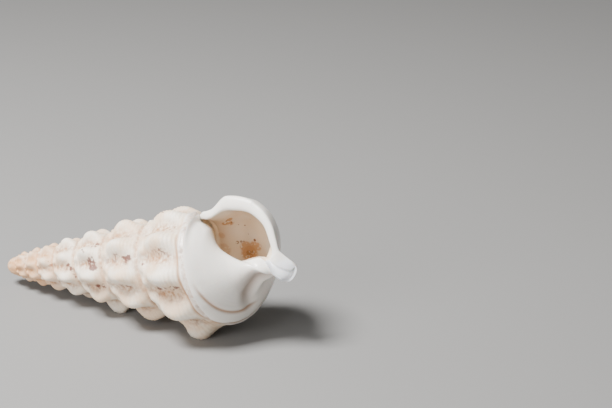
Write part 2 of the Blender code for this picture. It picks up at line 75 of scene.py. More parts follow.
BEAD_GROOVE = 0.007
BEAD_GROOVE_ROW = (0.25, 0.05)
THREADS = 16.0                 # across a side
THREAD_DEPTH = 0.0014
THREADED = (0.05, 0.5)         # whorls before the lip between which the threads come in
WHORL_SWELL = 0.013
WHORL_ARCH = (1.1, 0.9)        # lean and power of that swelling
SMOOTH_SWELL = 0.036           # of the last half whorl, which has no knobs
SMOOTH_ARCH = (0.82, 1.05)
LIP_SWELL = 0.0415             # what the swelling becomes at the lip
LIP_RISE = (0.2, 0.54)         # places across the side between which it rises to that
LIP_HOLLOW = 0.003             # dip in it near the seam
LIP_HOLLOW_ROW = (0.12, 0.1)
LIP_FORM = (0.36, 0.34)        # whorls before the lip where that form begins, and over which it comes
SEAM_DEPTH = 0.011
SEAM_BREADTH = 0.04
LOWER_SEAM = (0.85, 1.0)       # whorls before the lip between which the seam below a whorl begins

STEPS_A_WHORL = 112
BAND_STEPS = 72
SPIRE, BASE_ZONE, RIM, GUTTER, MOUTH = range(5)


def ease(x, start, end):
    """Smooth step: 0 before start, 1 after end, and 3t^2 - 2t^3 between."""
    t = np.clip((np.asarray(x, float) - start) / (end - start), 0.0, 1.0)
    return t * t * (3.0 - 2.0 * t)


def hump(x, centre, width):
    """Bell curve of height 1: e to the minus square of the distance in widths."""
    return np.exp(-((x - centre) / width) ** 2)


def arch(across, lean, power):
    """Sine over the width of a side. A lean below 1 moves the crest to the seam above, and a higher power
    narrows it."""
    return np.sin(pi * across ** lean) ** power


def through(rows, at):
    """Cubic pieces through rows whose first number is their place, with the slopes the neighbours give."""
    rows = np.asarray(rows, float)
    place = rows[:, 0]
    point = rows[:, 1:]
    slope = np.empty_like(point)
    slope[1:-1] = (point[2:] - point[:-2]) / (place[2:] - place[:-2])[:, None]
    slope[0] = (point[1] - point[0]) / (place[1] - place[0])
    slope[-1] = (point[-1] - point[-2]) / (place[-1] - place[-2])
    at = np.asarray(at, float)
    k = np.clip(np.searchsorted(place, at, side="right") - 1, 0, len(place) - 2)
    step = (place[k + 1] - place[k])[..., None]
    t = (at - place[k])[..., None] / step
    near = (2 * t ** 3 - 3 * t ** 2 + 1) * point[k] + (t ** 3 - 2 * t ** 2 + t) * step * slope[k]
    far = (3 * t ** 2 - 2 * t ** 3) * point[k + 1] + (t ** 3 - t ** 2) * step * slope[k + 1]
    return near + far


def bezier(a, b, c, d, t):
    """Cubic curve from a to d, with b and c as its control points."""
    s = 1.0 - t
    return s ** 3 * a + 3 * s * s * t * b + 3 * s * t * t * c + t ** 3 * d


def round_axis(x, radius, angle):
    """Point from x along the axis, and radius and angle round it."""
    return np.stack([x, radius * np.cos(angle), radius * np.sin(angle)], axis=-1)


def angle_of(whorl):
    """Angle round the axis, which falls by one turn with each whorl before the lip."""
    return LIP_ANGLE - TURN * whorl


def seam(whorl):
    """x and radius of the seam: both shrink by the growth factor with each whorl before the lip. Below 0 it
    is the lower edge of the last whorl's side, which draws in towards the lip."""
    whorl = np.asarray(whorl, float)
    reach = SUTURE_REACH * GROWTH ** (-whorl)
    after = np.clip(-whorl, 0.0, 1.0)
    x = APEX_X + reach - EDGE_BACK * after ** 2
    radius = SUTURE_SLOPE * reach - EDGE_IN[0] * after ** 2 - EDGE_IN[1] * after ** 5
    return x, radius


def knob_relief(whorl, across):
    """Height of the knobs: a raised cosine of their count round the whorl, times an arch across it. The
    heights vary slowly from knob to knob, and a few knobs stand out more or less."""
    height = np.full(whorl.shape, KNOB_HEIGHT)
    for place, breadth, extra in ODD_KNOBS:
        height = height + extra * hump(whorl, place, breadth)
    share, speed = KNOB_UNEVEN
    height = height * (1.0 + share * np.sin(speed * whorl) * ease(whorl, *UNEVEN_FROM))
    number = np.interp(whorl, KNOB_PLACE, KNOB_NUMBER)
    knob = height * (0.5 + 0.5 * np.cos(TURN * number)) ** KNOB_WIDTH_POWER
    start, length = LAST_LEAN
    lean = KNOB_LEAN[0] + (KNOB_LEAN[1] - KNOB_LEAN[0]) * ease(start - whorl, 0.0, length)
    place, breadth, gain = LAST_KNOB_SHORTER
    return knob * arch(across, lean, KNOB_LENGTH_POWER + gain * hump(whorl, place, breadth))


def bead_relief(whorl, across):
    """Height of the beads: a raised cosine round the whorl, a whole number of beads for each knob, times a
    bell curve close under the seam."""
    number = np.interp(whorl, KNOB_PLACE, KNOB_NUMBER)
    bead = BEAD_HEIGHT * (1.0 + TIP_BEADS_GAIN * ease(whorl, *TIP_BEADS)) * hump(across, *BEAD_ROW)
    return bead * (0.5 + 0.5 * np.cos(TURN * BEADS_A_KNOB * (number + BEAD_SHIFT)))


def thread_relief(whorl, across):
    """Height of the threads, a cosine across the side, and of the groove below the beads, a bell curve."""
    thread = THREAD_DEPTH * np.cos(TURN * THREADS * across) * arch(across, 1.0, 0.5)
    return (thread - BEAD_GROOVE * hump(across, *BEAD_GROOVE_ROW)) * ease(whorl, *THREADED)


def smooth_relief(whorl, across):
    """Height of the last half whorl: a plain arch, which at the lip is hollow near the seam and highest in
    the middle."""
    late = SMOOTH_SWELL * arch(across, *SMOOTH_ARCH)
    lip = LIP_SWELL * ease(across, *LIP_RISE) * (1.0 - across ** 3)
    lip = lip - LIP_HOLLOW * hump(across, *LIP_HOLLOW_ROW)
    start, length = LIP_FORM
    return late + (lip - late) * ease(start - whorl, 0.0, length)


def side_outline(whorl, across, threads=1.0):
    """x and radius of a whorl's side, from its seam (across 0) to the next (1): the line between the seams,
    plus a swelling, the knobs, the beads and the threads, less the groove at the seams, a bell curve. The
    tip is rounded by the root of 1 - (1 - x)^2."""
    whorl, across = np.broadcast_arrays(np.asarray(whorl, float), np.asarray(across, float))
    x0, r0 = seam(whorl)
    x1, r1 = seam(whorl - 1.0)
    x = x0 + (x1 - x0) * across
    reach = SUTURE_REACH * GROWTH ** (-whorl)
    knobbed = ease(whorl, *LAST_KNOB)
    swell = WHORL_SWELL * arch(across, *WHORL_ARCH)
    relief = (swell + knob_relief(whorl, across) + bead_relief(whorl, across)) * knobbed
    relief = relief + smooth_relief(whorl, across) * (1.0 - knobbed)
    seam_below = hump(across, 1.0, SEAM_BREADTH) * ease(whorl, *LOWER_SEAM)
    groove = SEAM_DEPTH * (hump(across, 0.0, SEAM_BREADTH) + seam_below)
    relief = relief + threads * thread_relief(whorl, across) - groove
    relief = relief * (1.0 - ease(whorl, *WORN))
    radius = r0 + (r1 - r0) * across + reach * relief
    dome = np.clip(x / TIP_DOME, 0.0, 1.0)
    return x, radius * np.sqrt(1.0 - (1.0 - dome) ** 2)


def numbered(start, shape):
    """Running point numbers in a grid."""
    return start + np.arange(np.prod(shape)).reshape(shape)


def spire_grid():
    """Points of all whorls' sides, the place of each (whorl, across, zone), and the grid of their numbers.
    The last column of a whorl is the first column of the whorl after it, so that the seams are closed."""
    rows = round(WHORLS * STEPS_A_WHORL)
    whorl = np.arange(rows, -1, -1) / STEPS_A_WHORL
    across = np.linspace(0.0, 1.0, BAND_STEPS + 1)
    w, a = np.meshgrid(whorl, across[:-1], indexing="ij")
    x, radius = side_outline(w, a)
    body = round_axis(x, radius, angle_of(w)).reshape(-1, 3)
    last = whorl[-STEPS_A_WHORL:]
    x, radius = side_outline(last, 1.0)
    edge = round_axis(x, radius, angle_of(last))
    index = np.empty((rows + 1, BAND_STEPS + 1), int)
    index[:, :-1] = numbered(0, (rows + 1, BAND_STEPS))
    index[:-STEPS_A_WHORL, -1] = index[STEPS_A_WHORL:, 0]
    index[-STEPS_A_WHORL:, -1] = len(body) + np.arange(STEPS_A_WHORL)
    place = np.stack([w.ravel(), a.ravel(), np.full(w.size, SPIRE)], axis=-1)
    edge_place = np.stack([last, np.ones_like(last), np.full(last.shape, SPIRE)], axis=-1)
    return np.concatenate([body, edge]), np.concatenate([place, edge_place]), index


def tip_grid(points, places, spire):
    """The rounded tip, inside the first turn of the seam: each row runs from the tip to the seam, with the
    radius of a dome, the root of 1 - (1 - x)^2."""
    whorl = WHORLS - np.arange(1, STEPS_A_WHORL) / STEPS_A_WHORL
    share = np.arange(1, BAND_STEPS) / BAND_STEPS
    x = seam(whorl)[0][:, None] * share[None, :]
    dome = np.sqrt(1.0 - (1.0 - np.clip(x / TIP_DOME, 0.0, 1.0)) ** 2)
    angle = np.broadcast_to(angle_of(whorl)[:, None], x.shape)
    new = round_axis(x, SUTURE_SLOPE * (x - APEX_X) * dome, angle).reshape(-1, 3)
    index = np.full((STEPS_A_WHORL + 1, BAND_STEPS + 1), spire[0, 0])
    index[1:-1, 1:-1] = numbered(len(points), x.shape)
    index[:-1, -1] = spire[:STEPS_A_WHORL, 0]
    index[-1] = spire[0]
    place = np.tile([WHORLS, 0.0, SPIRE], (len(new), 1))
    return np.concatenate([points, new]), np.concatenate([places, place]), index


# Base of the last whorl, with the neck and the short canal that is bent back. The same wall of lime, smooth
# and glazed: a cubic outline swept round the axis, which runs into an oval tube and is drawn to the mouth's
# edges. Along is 0 at the last whorl's side and 1 at the canal's end.
FACING = radians(160.7)        # side that the mouth faces
# Whorls before the lip, then x and radius of the outline's three control points
BASE = (
    (0.00, 68.4, 10.0, 70.2, 6.6, 70.0, 3.0),
    (0.25, 64.9, 11.8, 68.6, 6.9, 69.2, 3.0),
    (0.50, 62.2, 11.9, 64.2, 6.3, 67.8, 2.8),
    (0.75, 59.1, 11.2, 62.4, 4.2, 66.0, 2.6),
    (1.00, 54.6, 8.6, 55.6, 1.3, 62.0, 1.1),
    (1.15, 52.5, 7.9, 53.8, 1.9, 60.0, 1.4),
)
BASE_END = 0.62                # share of the way to the canal's end that this outline covers
NECK = (0.42, 0.62)            # stretch over which the base runs into the canal
# Along, then x, place towards the lip and place towards the viewer
LIP_EDGE = (
    (0.00, 66.17, 13.26, 1.2),
    (0.14, 68.85, 11.1, 1.1),
    (0.286, 70.75, 8.1, 0.9),
    (0.43, 71.6, 5.1, 0.6),
    (0.57, 72.05, 3.0, 0.3),
    (0.643, 72.6, 2.3, 0.0),
    (0.71, 73.35, 1.6, -0.4),
    (0.857, 74.5, 0.5, -1.1),
    (1.00, 75.0, -0.4, -1.6),
)
PILLAR_EDGE = (
    (0.00, 52.89, 10.95, 1.02),
    (0.07, 53.35, 9.3, 1.1),
    (0.143, 54.8, 8.4, 1.4),
    (0.214, 56.1, 7.4, 1.6),
    (0.286, 56.9, 5.8, 1.6),
    (0.357, 58.0, 3.65, 1.4),
    (0.43, 59.8, 2.0, 1.1),
    (0.50, 62.1, 0.95, 1.0),
    (0.55, 64.6, 0.8, 1.2),
    (0.59, 66.8, 1.25, 1.5),
    (0.62, 68.4, 1.45, 1.75),
    (0.643, 69.5, 0.7, 1.8),
    (0.68, 70.2, -0.1, 1.8),
    (0.73, 70.7, -1.1, 1.6),
    (0.786, 71.1, -2.0, 1.1),
    (0.857, 71.6, -2.85, 0.3),
    (0.93, 72.1, -3.45, -0.7),
    (1.00, 72.9, -3.5, -1.6),
)
LIP_PULL = (0.0, 0.25)         # whorls over which the base is drawn to the lip's edge
PILLAR_PULL = (0.74, 1.0)      # and to the pillar's
# Along, then the oval's middle, half-width and half-depth, three numbers each, and its swing in degrees
CANAL = (
    (0.55, 68.2, 0.0, 0.0, 0.0, 3.0, 0.1, 0.0, 0.0, -3.0, 330.0),
    (0.66, 70.0, 0.2, -0.1, 0.3, 2.6, 0.0, 0.0, 0.0, -2.6, 272.0),
    (0.74, 71.2, 0.1, -0.1, 0.8, 2.1, -0.5, 0.0, -0.1, -2.3, 232.0),
    (0.82, 72.7, -0.7, 0.0, 1.1, 1.8, -1.0, 0.3, -0.2, -2.1, 200.0),
    (0.90, 73.4, -1.4, -0.8, 1.15, 1.85, -0.65, 0.5, -0.3, -2.0, 183.0),
    (1.00, 73.95, -1.95, -1.6, 1.05, 1.55, 0.0, 0.65, -0.45, -0.3, 180.0),
)
BASE_STEPS = 84


def side(angle):
    """Direction of length 1 across the axis, at an angle round it."""
    return np.array([0.0, cos(angle), sin(angle)])


TO_LIP = side(FACING - pi / 2)
TO_VIEWER = side(FACING)


def placed(row):
    """Point from x, place towards the lip and place towards the viewer."""
    ahead = row[..., 0:1] * np.array([1.0, 0.0, 0.0])
    return ahead + row[..., 1:2] * TO_LIP + row[..., 2:3] * TO_VIEWER


def base_outline(whorl, start, along, shrink=1.0):
    """Cubic outline of the base from start, with the control points of the rows of BASE. A shrink of GROWTH
    gives the whorl before."""
    rows = through(BASE, whorl)
    points = []
    for k in range(3):
        x = APEX_X + (rows[..., 2 * k] - APEX_X) / shrink
        points.append(np.stack([x, rows[..., 2 * k + 1] / shrink], axis=-1))
    t = np.clip(along / BASE_END, 0.0, 1.0)[..., None]
    outline = bezier(start, *points, t)
    return outline[..., 0], outline[..., 1]


def canal_point(whorl, along):
    """Outside of the neck and canal: an oval from the lip's edge (whorl 0) round the back to the pillar's
    edge (whorl 1): middle + half-width times cosine + half-depth times sine of the swing."""
    rows = through(CANAL, np.clip(along, CANAL[0][0], 1.0))
    swing = np.radians(rows[..., 9:10]) * whorl[..., None]
    middle = placed(rows[..., 0:3])
    return middle + placed(rows[..., 3:6]) * np.cos(swing) + placed(rows[..., 6:9]) * np.sin(swing)


def plain_base_point(whorl, along):
    """The base's outline round the axis, eased into the canal's oval over the neck."""
    start = np.stack(side_outline(whorl, 1.0), axis=-1)
    x, radius = base_outline(whorl, start, along)
    neck = ease(along, *NECK)[..., None]
    return round_axis(x, radius, angle_of(whorl)) * (1 - neck) + canal_point(whorl, along) * neck


def base_point(whorl, along):
    """The base, drawn to the mouth's two edges: the lip's at whorl 0 and the pillar's at whorl 1. Each pull
    is the way from the base to that edge, times a smooth step of the whorl."""
    whorl, along = np.broadcast_arrays(np.asarray(whorl, float), np.asarray(along, float))
    point = plain_base_point(whorl, along)
    to_lip = placed(through(LIP_EDGE, along)) - plain_base_point(np.zeros_like(whorl), along)
    to_pillar = placed(through(PILLAR_EDGE, along)) - plain_base_point(np.ones_like(whorl), along)
    at_lip = (1 - ease(whorl, *LIP_PULL))[..., None]
    at_pillar = ease(whorl, *PILLAR_PULL)[..., None]
    return point + to_lip * at_lip + to_pillar * at_pillar


def base_grid(points, places, spire):
    """Points and numbers on the base, from the last whorl's edge to the canal's end."""
    whorl = np.arange(STEPS_A_WHORL, -1, -1) / STEPS_A_WHORL
    along = np.linspace(0.0, 1.0, BASE_STEPS + 1)
    w, a = np.meshgrid(whorl, along[1:], indexing="ij")
    new = base_point(w, a).reshape(-1, 3)
    index = np.empty((STEPS_A_WHORL + 1, BASE_STEPS + 1), int)
    index[:, 0] = spire[-STEPS_A_WHORL - 1:, -1]
    index[:, 1:] = numbered(len(points), w.shape)
    place = np.stack([w.ravel(), 1.0 + a.ravel(), np.full(w.size, BASE_ZONE)], axis=-1)
    return np.concatenate([points, new]), np.concatenate([places, place]), index


# Mouth. The thick white lip, a rounded edge of the same lime, the open gutter of the canal and the hollow
# behind, whose wall is as thick as the last whorl's. The edge is half an oval, and the hollow winds back
# into the shell. Run is 0 to 1 across the last whorl's side and 1 to 2 along the base.

# Run, then x, place towards the lip and place towards the viewer
INNER_LIP = (
    (0.00, 53.2, 9.7, 1.0),
    (0.125, 54.9, 9.65, 1.2),
    (0.25, 56.5, 10.2, 1.3),
    (0.40, 58.8, 11.25, 1.4),
    (0.625, 61.5, 11.4, 1.4),
    (1.00, 65.6, 10.7, 1.2),
    (1.21, 68.7, 8.2, 1.0),
    (1.43, 70.1, 4.5, 0.6),
    (1.53, 70.5, 2.9, 0.45),
    (1.59, 70.4, 1.9, 0.4),
    (1.643, 69.95, 1.0, 0.4),
    (1.70, 70.55, 0.35, 0.5),
    (1.78, 71.6, -0.5, 0.2),
    (1.87, 72.9, -1.1, -0.4),
    (1.94, 73.9, -1.3, -1.0),
    (2.00, 74.5, -1.05, -1.35),
)
EDGE_BULGE = (0.22, 0.10)      # roundness of the edge, as a share of its thickness: at the lip, at the canal
BULGE_CHANGE = (1.55, 1.75)    # run between the two
GUTTER_DEPTH = ((0.60, 1.2), (0.643, 1.0), (0.72, 0.4), (0.82, 0.25), (0.92, 0.15), (1.00, 0.0))
GUTTER_DRAWN = (0.75, 1.0)     # along, between which the gutter is drawn out to the canal's end
CANAL_ENTRY = 0.643            # along, where the canal leaves the mouth
CANAL_WALL = 0.45
CANAL_WALL_RISE = 0.35         # how far that wall's inner edge leans to the viewer, as a share of it
CANAL_WALL_OUT = (0.7, 0.95)   # along, between which that wall comes in on the pillar's side
WALL = 1.3                     # thickness of the last whorl's wall
WALL_AT_SEAM = (-0.15, 0.2)    # run between which the wall reaches that thickness
THROAT = 0.16                  # whorls before the lip at which the winding hollow begins
HOLLOW_END = 0.45
HOLLOW_FRONT_RADIUS = 1.1
HOLLOW_FRONT_GAP = 1.6         # from the base's front to the hollow's front end
WALL_TO_FRONT = (1.3, 1.62)    # run between which the wall closes on that end
PILLAR_TO_FRONT = (0.35, 0.9)  # and the pillar's side
PILLAR_RADIUS = 0.45
PILLAR_BARE = (0.3, 0.5)       # along, between which the inner side comes down to the bare pillar
PILLAR_CLEARANCE = (0.25, 1.1)  # gap between hollow and pillar, and how much less it is beside the mouth
LESS_CLEAR = (0.2, 0.14)       # place and breadth of that
LEAVE_SHARE = 0.35             # length of the mouth curves' handles, as a share of the way they cover
PILLAR_LEAVE_LOSS = 0.6        # what those on the pillar lose of it
PILLAR_TURNED = (0.3, 0.5)     # along, between which the curves on the pillar turn to run straight in
ONWARDS = 0.03                 # whorls between two sections that give a direction
RIM_STEPS = 8
MOUTH_STEPS = 14
HOLLOW_STEPS = 16


def unit(vectors):
    """The same directions with length 1."""
    return vectors / (np.linalg.norm(vectors, axis=-1, keepdims=True) + 1e-12)


def looped(index):
    """Grid of closed rows: the first column comes again at the end."""
    return np.concatenate([index, index[:, :1]], axis=1)


def hollow_end(whorl):
    """x and radius of the front end of the hollow's section, between the wall and the pillar."""
    x = through(BASE, whorl)[..., 4] - HOLLOW_FRONT_GAP - whorl
    return x, np.full(np.shape(whorl), HOLLOW_FRONT_RADIUS)


def moved_in(x, radius, distance):
    """An outline moved across itself, towards the axis where x grows, by a distance."""
    dx = np.gradient(x)
    dr = np.gradient(radius)
    length = np.hypot(dx, dr) + 1e-9
    return x + dr / length * distance, radius - dx / length * distance


def wall_inside(whorl, run):
    """Inside of the outer wall: the outline of the side and the base, without threads, moved inwards by the
    wall's thickness."""
    smooth = np.minimum(whorl, LAST_KNOB[0])
    x_side, r_side = side_outline(smooth, np.clip(run, 0.0, 1.0), threads=0.0)
    shrink = GROWTH ** (smooth - whorl)
    x_side = APEX_X + (x_side - APEX_X) * shrink
    r_side = r_side * shrink
    start = np.stack(side_outline(whorl, 1.0), axis=-1)
    x_base, r_base = base_outline(whorl, start, np.clip(run - 1.0, 0.0, 1.0))
    x = np.where(run > 1.0, x_base, x_side)
    radius = np.where(run > 1.0, r_base, r_side)
    x, radius = moved_in(x, radius, WALL * ease(run, *WALL_AT_SEAM))
    end_x, end_r = hollow_end(whorl)
    front = ease(run, *WALL_TO_FRONT)
    return x * (1 - front) + end_x * front, radius * (1 - front) + end_r * front


def pillar_side(whorl, along):
    """Inner side of the hollow: the base of the whorl before, and then the pillar."""
    start = np.stack(seam(whorl), axis=-1)
    x, radius = base_outline(whorl, start, along, shrink=GROWTH)
    front = ease(along, *PILLAR_TO_FRONT)
    x = x * (1 - front) + hollow_end(whorl)[0] * front
    bare = ease(along, *PILLAR_BARE)
    radius = np.maximum(radius * (1 - bare) + PILLAR_RADIUS * bare, PILLAR_RADIUS)
    clear = PILLAR_CLEARANCE[0] - PILLAR_CLEARANCE[1] * hump(along, *LESS_CLEAR)
    return moved_in(x, radius, -clear)


def hollow_loop(whorl, outer, canal_count, inner):
    """Closed section of the hollow, some whorls before the lip: wall, front end, pillar side."""
    x_out, r_out = wall_inside(np.full(outer.shape, whorl), outer)
    x_in, r_in = pillar_side(np.full(inner.shape, whorl), inner)
    t = np.linspace(0.0, 1.0, canal_count)
    x_end = x_out[-1] * (1 - t) + x_in[0] * t
    r_end = r_out[-1] * (1 - t) + r_in[0] * t
    x = np.concatenate([x_out, x_end, x_in])
    radius = np.concatenate([r_out, r_end, r_in])
    return round_axis(x, radius, angle_of(whorl))


def rim_grid(points, places, spire, base):
    """The rounded edge of the mouth: half an oval from its outside to its inside. The rows run along the
    lip, round the canal's end and back along the pillar, where the thickness dies out."""
    edge = np.concatenate([spire[-1, :-1], base[-1, :-1], base[::-1, -1], base[0, ::-1][1:-1]])
    start = points[edge]
    along = np.linspace(0.0, 1.0, BASE_STEPS + 1)
    back = along[::-1][1:-1]
    lip = np.concatenate([np.linspace(0.0, 1.0, BAND_STEPS + 1)[:-1], 1.0 + along[:-1]])
    inner = start.copy()
    inner[:len(lip)] = placed(through(INNER_LIP, lip))
    tangent = unit(np.roll(start, -1, axis=0) - np.roll(start, 1, axis=0))
    inward = unit(np.cross(tangent, TO_VIEWER)) + CANAL_WALL_RISE * TO_VIEWER
    rest = slice(len(lip), len(edge))
    wall = np.concatenate([np.ones(STEPS_A_WHORL + 1), ease(back, *CANAL_WALL_OUT)])[:, None]
    inner[rest] = start[rest] + CANAL_WALL * wall * inward[rest]
    span = np.linalg.norm(inner - start, axis=1, keepdims=True)
    run = np.concatenate([lip, np.full(len(edge) - len(lip), 2.0)])
    bulge = EDGE_BULGE[0] + (EDGE_BULGE[1] - EDGE_BULGE[0]) * ease(run, *BULGE_CHANGE)
    rows = []
    for k in range(1, RIM_STEPS + 1):
        swing = pi * k / RIM_STEPS
        over_edge = (inner - start) * (0.5 - 0.5 * cos(swing))
        rows.append(start + (over_edge + TO_VIEWER * bulge[:, None] * span * sin(swing)))
    index = np.concatenate([edge[None], numbered(len(points), (RIM_STEPS, len(edge)))])
    run[len(lip) + STEPS_A_WHORL + 1:] = 3.0 + (1.0 - back)
    depth = np.repeat(np.arange(1, RIM_STEPS + 1) / RIM_STEPS, len(edge))
    place = np.stack([depth, np.tile(run, RIM_STEPS), np.full(depth.shape, RIM)], axis=-1)
    return np.concatenate([points] + rows), np.concatenate([places, place]), index


def gutter_grid(points, places, rim):
    """Inside of the canal: each row is a parabola from the lip's edge to the pillar's, and the rows are
    drawn out to the canal's end."""
    first = round(CANAL_ENTRY * BASE_STEPS)
    count = BASE_STEPS - first
    end = BAND_STEPS + BASE_STEPS
    pillar = end + STEPS_A_WHORL
    index = np.empty((count + 1, STEPS_A_WHORL + 1), int)
    index[:, 0] = rim[BAND_STEPS + first:end + 1]
    index[:, -1] = rim[pillar:pillar + count + 1][::-1]
    index[-1] = rim[end:pillar + 1]
    index[:-1, 1:-1] = numbered(len(points), (count, STEPS_A_WHORL - 1))
    along = np.arange(first, BASE_STEPS + 1) / BASE_STEPS
    depth = through(GUTTER_DEPTH, along)
    left = points[index[:, 0]]
    right = points[index[:, -1]]
    floor = (left + right) / 2 - 2.0 * depth * TO_VIEWER
    t = np.linspace(0.0, 1.0, STEPS_A_WHORL + 1)[None, :, None]
    rows = (1 - t) ** 2 * left[:, None] + 2 * t * (1 - t) * floor[:, None] + t ** 2 * right[:, None]
    to_end = points[index[-1]] - rows[-1]
    rows = rows + to_end[None] * ease(along, *GUTTER_DRAWN)[:, None, None]
    new = rows[:-1, 1:-1].reshape(-1, 3)
    a, t = np.meshgrid(along[:-1], t[0, 1:-1, 0], indexing="ij")
    place = np.stack([t.ravel(), a.ravel(), np.full(t.size, GUTTER)], axis=-1)
    return np.concatenate([points, new]), np.concatenate([places, place]), index


def mouth_grid(points, places, rim, gutter):
    """The mouth and the hollow: closed rows along the lip, across the canal's entry and back along the
    pillar. Cubic curves run from the rim to the throat, whose section is wound back into the shell."""
    first = BASE_STEPS - len(gutter) + 1
    across = np.linspace(0.0, 1.0, BAND_STEPS + 1)[:-1]
    along = np.arange(first) / BASE_STEPS
    back = along[:0:-1]
    edge = np.concatenate([rim[:BAND_STEPS + first], gutter[0], rim[len(rim) - first + 1:]])
    outer = np.concatenate([across, 1.0 + along])
    canal_count = STEPS_A_WHORL + 1
    throat = hollow_loop(THROAT, outer, canal_count, back)
    sweep = unit(hollow_loop(THROAT + ONWARDS, outer, canal_count, back) - throat)
    start = points[edge]
    leave = np.tile(-TO_VIEWER, (len(start), 1))
    canal = slice(len(outer), len(outer) + canal_count)
    on_pillar = np.ones(len(back))
    onwards = unit(base_point(on_pillar * (1.0 + ONWARDS), back) - base_point(on_pillar, back))
    turned = ease(back, *PILLAR_TURNED)[:, None]
    leave[canal.stop:] = unit(onwards * (1 - turned) - TO_VIEWER * turned)
    t = np.linspace(0.0, 1.0, canal_count)[:, None]
    at_edges = (1 - t) * leave[len(outer) - 1] + t * leave[canal.stop]
    in_gutter = unit(points[gutter[0]] - points[gutter[1]])
    leave[canal] = unit(at_edges + (in_gutter - at_edges) * np.sin(pi * t))
    gap = LEAVE_SHARE * np.linalg.norm(throat - start, axis=1, keepdims=True)
    gap[canal.stop:] *= 1.0 - PILLAR_LEAVE_LOSS * turned
    rows = []
    for k in range(1, MOUTH_STEPS + 1):
        rows.append(bezier(start, start + leave * gap, throat - sweep * gap, throat, k / MOUTH_STEPS))
    for k in range(1, HOLLOW_STEPS + 1):
        whorl = THROAT + (HOLLOW_END - THROAT) * k / HOLLOW_STEPS
        rows.append(hollow_loop(whorl, outer, canal_count, back))
    index = np.concatenate([edge[None], numbered(len(points), (len(rows), len(edge)))])
    run = np.concatenate([outer, 1.0 + CANAL_ENTRY + 0.5 * t[:, 0], 3.0 + (1.0 - back)])
    depth = np.repeat(np.arange(1, len(rows) + 1) / MOUTH_STEPS, len(edge))
    place = np.stack([depth, np.tile(run, len(rows)), np.full(depth.shape, MOUTH)], axis=-1)
    return np.concatenate([points] + rows), np.concatenate([places, place]), index


# The whole shell at rest. It lies on three of its knobs, with the axis rising from the tip to the canal, so
# the points are tilted, lifted and scaled to metres, and what would dip below the surface is flat on it.
RISE = radians(11.6)           # slope of the axis
TIP_HEIGHT = 3.95              # of the axis at the tip, above the surface
CENTRE = (36.97, -0.08)        # middle of the shell's box, counted from the tip
MM = 0.001
WELD = 0.000002


def at_rest(points):
    """Tilt about the tip, lift, and centre the box, in metres. Nothing lies lower than 0."""
    x, y, z = points.T
    ahead = x * cos(RISE) - z * sin(RISE)
    up = x * sin(RISE) + z * cos(RISE) + TIP_HEIGHT
    return np.stack([ahead - CENTRE[0], y - CENTRE[1], np.maximum(up, 0.0)], axis=-1) * MM


points, places, spire = spire_grid()
points, places, tip = tip_grid(points, places, spire)
points, places, base = base_grid(points, places, spire)
points, places, rim = rim_grid(points, places, spire, base)
points, places, gutter = gutter_grid(points, places, rim[-1])
points, places, mouth = mouth_grid(points, places, rim[-1], gutter)
deep = np.concatenate([mouth[-1], mouth[-1, :1]])
points = np.concatenate([points, points[mouth[-1]].mean(axis=0)[None]])
places = np.concatenate([places, places[mouth[-1][:1]]])
fan = np.stack([deep[1:], deep[:-1], np.full(len(deep) - 1, len(points) - 1)], axis=-1)

quads = []
for grid in (spire, tip, base, looped(rim), gutter, looped(mouth)):
    corners = [grid[:-1, :-1], grid[1:, :-1], grid[1:, 1:], grid[:-1, 1:]]
    quads.append(np.stack(corners, axis=-1).reshape(-1, 4))
quads = np.concatenate(quads)


def smooth_normals(points, quads):
    """Direction out of the surface at each point: the sum of the crossed diagonals of the faces round it."""
    one_way = points[quads[:, 2]] - points[quads[:, 0]]
    other_way = points[quads[:, 3]] - points[quads[:, 1]]
    across = np.cross(one_way, other_way)
    total = np.zeros_like(points)
    for corner in range(4):
        for axis in range(3):
            total[:, axis] += np.bincount(quads[:, corner], across[:, axis], len(points))
    return unit(total)


# Growth marks. The edge of the callus, a thin extra layer of lime spread round the mouth, a groove and fine
# growth lines inside it, the hollow under the neck and the fold beside it. Heights are millimetres out of
# the surface, lines are whorl and run, and spans are whorls before the lip: begins, full, ebbs, ends.
CALLUS_EDGE = ((0.00, 1.75), (0.33, 1.55), (0.357, 1.43), (0.393, 1.30), (0.438, 1.20), (0.473, 1.14),
               (0.527, 1.08), (0.571, 1.00), (0.60, 0.94), (0.70, 0.91), (1.00, 0.92))
CALLUS_SPAN = (0.32, 0.38, 0.93, 1.02)
CALLUS_STEP = 0.26
CALLUS_ACROSS = (-0.012, 0.02, 0.06, 0.30)
GROOVE_SUM = 1.78              # run and whorl together, along the groove
GROOVE_SPAN = (0.43, 0.48, 0.66, 0.72)
GROOVE_DEPTH = 0.20
GROOVE_BREADTH = 0.020
GROOVE_RIDGE = 0.14
GROOVE_RIDGE_ACROSS = (0.035, 0.025)
NECK_HOLLOW = ((0.40, 1.28), (0.48, 1.34), (0.52, 1.41), (0.58, 1.52), (0.66, 1.59), (0.80, 1.68))
NECK_SPAN = (0.43, 0.52, 0.66, 0.80)
NECK_HOLLOW_DEPTH = 1.0
NECK_HOLLOW_BREADTH = 0.075
NECK_FOLD_HEIGHT = 0.35
NECK_FOLD_ACROSS = (0.14, 0.05)
